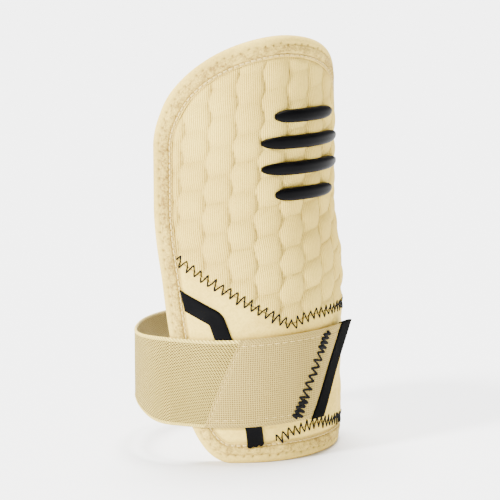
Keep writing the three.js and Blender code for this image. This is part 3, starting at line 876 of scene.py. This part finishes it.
def loop_line(steps):
    """The free loop from above: cubic curves that pass each knot along its heading. Gives the places, the
    directions and how far along the loop each is, from 0 to 1."""
    lean = float(lean_at(STRAP_UP))
    left, right, deep = lean - HALF_WIDTH - 3, lean + HALF_WIDTH, -ROOT_DEEP - GAP - BAND / 2
    heading = lambda angle: np.array([math.cos(angle), math.sin(angle)])
    knots = [(roll(right, STRAP_UP, deep)[:2], heading(TURN))]
    knots += [(np.array(spot) * RADIUS + AXIS[:2], heading(math.radians(angle))) for *spot, angle in LOOP]
    knots += [(roll(left, STRAP_UP, CLEAR + BAND / 2)[:2], heading(-TURN))]
    t = np.linspace(0, 1, steps)[:, None]
    s = 1 - t
    places, ways = [], []
    for (a, out), (b, into) in zip(knots, knots[1:]):
        reach = np.linalg.norm(b - a) * KNOT_REACH
        c, d = a + out * reach, b - into * reach
        places.append((s**3 * a + 3 * s**2 * t * c + 3 * s * t**2 * d + t**3 * b)[:-1])
        ways.append(unit(s**2 * (c - a) + 2 * s * t * (d - c) + t**2 * (b - d))[:-1])
    places, ways = (np.concatenate(rows + [last[None]]) for rows, last in zip((places, ways), knots[-1]))
    return places, ways, np.linspace(0, 1, len(places)), (left, right, deep)


def selvedge(level):
    """How proud the weave stands: a rounded cord at each edge, with a fine line inside it."""
    edge = (0.5 - np.abs(level)) * STRAP
    return 0.22 * dent(edge - 1.0, 0.7) - 0.22 * dent(edge - 2.2, 0.4) - 0.5 * np.exp(-edge / 0.35)


def band_face(side, level):
    """One face of the band: its root, the free loop and the stretch over the flank, as rows of points."""
    places, ways, round_share, (left, right, deep) = loop_line(60)
    lift = side * (BAND / 2 + selvedge(level)[None])
    root = np.linspace(right - ROOT, right, 26)[:-1, None]
    rows = [roll(root, strap_up(-HALF_WIDTH, level[None]), deep + lift)]
    necked = smooth(np.minimum(round_share, 1 - round_share) / NECK_REACH)[:, None]
    up = NECK_RISE * necked + strap_up(-HALF_WIDTH, level[None] * (1 + (NECK - 1) * necked))
    flat = places[:, None] + np.stack([ways[:, 1], -ways[:, 0]], 1)[:, None] * lift[..., None]
    rows.append(np.concatenate([flat, up[..., None]], -1))
    share = np.linspace(0, 1, 40)[1:, None]
    across = left + (slanted(BAND_SEAM, level)[None] + 1.5 - left) * share
    rows.append(roll(across, strap_up(across, level[None]), CLEAR + BAND / 2 + lift))
    return np.concatenate(rows)


level = np.linspace(-0.5, 0.5, 61)
outer, inner = band_face(1, level), band_face(-1, level)
middle = (outer + inner) / 2
gone = walk(middle[:, 30])
piece = make_slab("strap_elastic", outer, inner, gone[:, None], level * STRAP, [elastic_mesh, elastic_back_painted_shade])
# Relaxed, the band is shorter by what the stretch adds.
flat = (STRAP * MM, gone[-1] * MM / STRETCH)
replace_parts(piece, "strap_band")

# %% [markdown]
# ## The tab and its tag
# The tab is a square weave, doubled and stiff, with a slanted end whose upper corner has sprung a little away
# from the guard. A plain black ribbon is folded over that end.

# %% The tab
TAB_THINNED = 1.2  # at its slanted end, where the tag is folded over it


def tab_under(across):
    """The tab's underside stands off the guard's face by a square law, as a straight line leaves a curve."""
    return CLEAR + TAB_LIFT * np.maximum(0, (across - LIFT_FROM) / (TAB_END[1] - LIFT_FROM)) ** 2


share, level = np.linspace(0, 1, 170)[:, None], np.linspace(-0.5, 0.5, 81)[None]
start, end = slanted(BAND_SEAM, level) + GAP / 2, slanted(TAB_END, level) - 0.6
across = start + (end - start) * share
up = strap_up(across, level)
under = tab_under(across)
edge = (0.5 - np.abs(level)) * STRAP
seam = across - start
pull = 0.35 * dent(edge - 3.6, 0.6) + 0.5 * dent(seam - 2.0, 0.8)
round_off = 0.55 * np.exp(-edge / 0.5) + 0.45 * np.exp(-seam / 0.5)
tack = across - slanted(TACK, level)
pull = pull + 0.35 * dent(tack, 2.6) + 0.06 * ripple(across, up, 5)
thick = TAB - (TAB - TAB_THINNED) * smooth(1 - (slanted(TAB_END, level) - across - 10) / 6)
outer = roll(across, up, under + thick - pull - round_off)
inner = roll(across, up, under + 0.2 * round_off)
piece = make_slab("strap_hook_tab", outer, inner, across, level * STRAP, [tab_weave])
flat = (STRAP * MM, (TAB_END[1] - BAND_SEAM[0]) * MM)
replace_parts(piece, "strap_tab")

# %% The tag
TAG_WIDTH, TAG_LENGTH = 10.2, 1.024  # in mm, and in widths of the strap

# A hairpin profile, open towards the guard's left, is carried up the tab's slanted end.
over, under, thick = TAB_THINNED + 0.08, -0.08, 0.4
nose = np.linspace(np.pi / 2, -np.pi / 2, 9)
mid, reach = (over + under) / 2, (over - under) / 2
face = np.linspace(-TAG_WIDTH, -2.0, 5)
outside = [(back, over + thick) for back in face]
outside += [(0.5 * math.cos(a) - 0.5, mid + (reach + thick) * math.sin(a)) for a in nose]
outside += [(back, under - thick) for back in face[::-1]]
inside = [(back, under) for back in face] + [(-0.45, under), (-0.45, over)] + [(back, over) for back in face[::-1]]
profile = np.array(outside + inside)
level = np.linspace(-TAG_LENGTH / 2, TAG_LENGTH / 2, 64)[:, None]
across = slanted(TAB_END, level) + profile[None, :, 0]
up = strap_up(across, level)
rings = roll(across, up, tab_under(across) + profile[None, :, 1])
rows, columns = rings.shape[:2]
sides = grid_faces(rows, columns, False, True)[:, ::-1]
count, leaf = len(outside), len(face)
run = np.arange(leaf - 1)
upper = np.stack([run, run + 1, columns - 2 - run, columns - 1 - run], 1)
lower = count + np.stack([run - leaf, run - leaf + 1, leaf - 2 - run, leaf - 1 - run], 1)
tip = np.r_[leaf - 1 : count - leaf + 1, count + leaf - 1 : columns - leaf + 1]
faces = [sides]
for shift, way in ((0, -1), ((rows - 1) * columns, 1)):
    faces += [np.concatenate([upper, lower])[:, ::way] + shift, tip[None, ::way] + shift]
uv = grid_uv(level * 62, np.arange(columns) * 1.2)
piece = make_piece("tag_blank", rings.reshape(-1, 3), faces, uv, [ribbon])
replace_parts(piece, "end_tag")

# %% [markdown]
# ## The black trim
# A moulded rubber stripe is bonded to the left flank: it comes out of the bound edge, bends, and runs down under
# the strap to the foot. The front of the pad carries four plain raised bars. Both are thin domes on the flat
# pattern, so the cloth's curve carries them.

# %% The stripe
STRIPE, STRIPE_THICK, STRIPE_BEND, STRIPE_SLANT = 9.4, 0.7, 6.0, 0.88
STRIPE_PLAN = np.array([(-79.5, 92.3), (-59.7, 83.0), (-40.0, 30.0), (-36.4, 10.0)])
SCALLOPS, SCALLOP_DEEP = 3, 0.8  # the small rounded teeth of its lower end


def bent_line(corners, bend, count):
    """Straight runs with each corner rounded by a quadratic curve, with its directions and distances."""
    line = [corners[:1]]
    t = np.linspace(0, 1, 20)[:, None]
    for before, corner, after in zip(corners, corners[1:], corners[2:]):
        a = corner - unit(corner - before) * bend / 2
        b = corner + unit(after - corner) * bend / 2
        line.append((1 - t) ** 2 * a + 2 * (1 - t) * t * corner + t**2 * b)
    line = np.concatenate(line + [corners[-1:]])
    along = np.linspace(0, walk(line)[-1], count)
    points = resample(line, along)
    return points, unit(np.gradient(points, axis=0)), along


points, way, along = bent_line(STRIPE_PLAN, STRIPE_BEND, 150)
side = np.linspace(-1, 1, 37)[None]
slant = STRIPE_SLANT * STRIPE / 2 * np.clip(1 - along / 6, 0, 1)[:, None] * -side
teeth = SCALLOP_DEEP * (np.abs(np.sin(SCALLOPS * np.pi * (side + 1) / 2)) - 0.5)
slant = slant + teeth * np.clip(1 - (along[-1] - along) / 3, 0, 1)[:, None]
offset = side * STRIPE / 2
across = points[:, :1] - way[:, 1:] * offset + way[:, :1] * slant
up = points[:, 1:] + way[:, :1] * offset + way[:, 1:] * slant
crown = dome(side, 8, 0.5) * np.ones_like(across)
tips = np.clip(np.minimum(along, along[-1] - along) / 0.7, 0, 1)[:, None] ** 0.5
top = GAP + STRIPE_THICK * (0.3 + 0.7 * crown * tips) + 0.25 * crown * tips
outer, inner = roll(across, up, top), roll(across, up, GAP - 0.6)
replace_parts(make_slab("stripe_flank", outer, inner, across, up, [rubber]), "side_stripe")

# %% The raised bars
BAR_LENGTHS, BAR_HEIGHT, BAR_PITCH, BAR_THICK, BAR_UP = [46, 62, 62, 46], 7.4, 14.5, 2.0, 173.0

# Each bar narrows to its ends like a lens, and its top is a rounded ridge.
along = 0.99 * np.sin(np.linspace(-1, 1, 90) * np.pi / 2)[:, None]
side = np.sin(np.linspace(-1, 1, 21) * np.pi / 2)[None]
taper = dome(along, 5, 0.5)
top = 0.12 + 0.88 * dome(side, 3.2, 0.6) * (0.35 + 0.65 * taper)
for number, bar_length in enumerate(BAR_LENGTHS):
    across = along * bar_length / 2 * np.ones_like(side)
    up = BAR_UP + (number - 1.5) * BAR_PITCH + side * BAR_HEIGHT / 2 * taper
    outer, inner = roll(across, up, GAP + BAR_THICK * top), roll(across, up, -0.9)
    piece = make_slab(f"bar_front_{number + 1}", outer, inner, across, up, [rubber])
    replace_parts(piece, f"front_bar_{number + 1}")

# %% [markdown]
# ## Stitching
# The black zigzags are one thread each, swinging from side to side of its seam. The pale seams are runs of short
# threads, each dipping into the cloth at both ends. All are worked out on the pattern and then rolled up, so that
# they lie on the cloth.

# %% Zigzag seams
THREAD, THREAD_UP = 0.42, 0.22  # the black thread's radius, and how far its middle lies above the cloth
SOFT_TIP = 0.985  # a triangle wave's tips are sharp at 1


def zigzag(line, pitch, width):
    """A line swung from side to side, as a triangle wave with softened tips. pitch is a swing there and back."""
    length = walk(line)[-1]
    swings = round(length / pitch)
    points = resample(line, np.linspace(0, length, 20 * swings + 1))
    way = unit(np.gradient(points, axis=0))
    phase = np.linspace(0, swings * 2, len(points))
    swing = np.arcsin(SOFT_TIP * np.sin(phase * np.pi)) / np.arcsin(SOFT_TIP)
    wander = 1 + 0.12 * np.sin(phase * 1.9) + 0.08 * np.sin(phase * 0.77)
    square = np.stack([-way[:, 1], way[:, 0]], 1)
    jitter = 0.25 * np.sin(phase * 2.63)
    return points + square * (swing * wander * width / 2)[:, None] + way * jitter[:, None]


def face_height(across, up):
    """The relief of whichever panel lies at a place of the pattern."""
    share = (across - lean_at(up)) / HALF
    below = np.where(up > heel_edge(share), lower_relief(across, up, share), heel_relief(across, up, share))
    return np.where(up > seam_edge(share), pad_relief(across, up, share), below)


def sew_panels(name, edge, low, high, count, pitch, width):
    """A black zigzag along an edge of the pattern, lying on the panels' relief."""
    share = np.linspace(low, high, count)
    up = edge(share)
    flat = zigzag(np.stack([lean_at(up) + share * HALF, up], 1), pitch, width)
    make_threads(name, flat[None], face_height(*flat.T)[None] + THREAD_UP, THREAD, black_thread)


sew_panels("zigzag_upper", seam_edge, -0.872, 0.872, 400, 4.6, 5.8)
sew_panels("zigzag_heel", heel_edge, -0.31, 0.8, 300, 3.9, 6.2)

# %% The thick bar tack on the tab


def tab_line(across, level):
    return np.stack([across, strap_up(across, level)], 1)


# Wide swings in the middle, and close ones in doubled thread at both ends.
for name, low, high, pitch, thick in (
    ("lower", -0.46, -0.27, 2.9, 0.8), ("middle", -0.28, 0.28, 4.2, 0.6), ("upper", 0.27, 0.46, 2.9, 0.8)
):
    level = np.linspace(low, high, 200)
    flat = zigzag(tab_line(slanted(TACK, level), level), pitch, 5.6)[None]
    make_threads(f"bar_tack_{name}", flat, tab_under(flat[..., 0]) + TAB + 0.15, thick, black_thread)

# %% Runs of short stitches


def stitch_run(name, flat, proud, pitch, length, thick):
    """Short arched threads along a line. proud gives the height at across."""
    count = int(walk(flat)[-1] / pitch)
    span = np.linspace(-0.5, 0.5, 7)[None]
    points = resample(flat, (np.arange(count)[:, None] + 0.5) * pitch + span * length)
    make_threads(name, points, proud(points[..., 0]) - 0.35 * (2 * span) ** 4, thick, sand_thread)


for name, inward, proud, length, thick in (("outer", 10.6, -0.62, 2.4, 0.6), ("inner", 10.4, -6.55, 2.5, 0.3)):
    flat = np.stack(from_rim(rim_line(900)[0], inward), 1)
    flat = np.concatenate([flat, flat[:1]])
    stitch_run(f"stitches_binding_{name}", flat, lambda across: proud, STITCH, length, thick)


def on_tab(across):
    return tab_under(across) + TAB - 0.28


level = np.linspace(-0.44, 0.44, 200)
stitch_run("stitches_tab_top", tab_line(np.linspace(-45.5, 11, 200), 0.428), on_tab, 4.4, 3.1, 0.42)
stitch_run("stitches_tab_bottom", tab_line(np.linspace(-60.5, -15, 200), -0.41), on_tab, 4.4, 3.1, 0.42)
stitch_run("stitches_tab_seam", tab_line(slanted(BAND_SEAM, level) + 2.0, level), on_tab, 4.0, 2.9, 0.27)

# %% [markdown] Count the triangles

triangles = sum(sum(len(face.vertices) - 2 for face in piece.data.polygons) for piece in pieces.values())
print("pieces:", len(pieces), "triangles:", triangles)
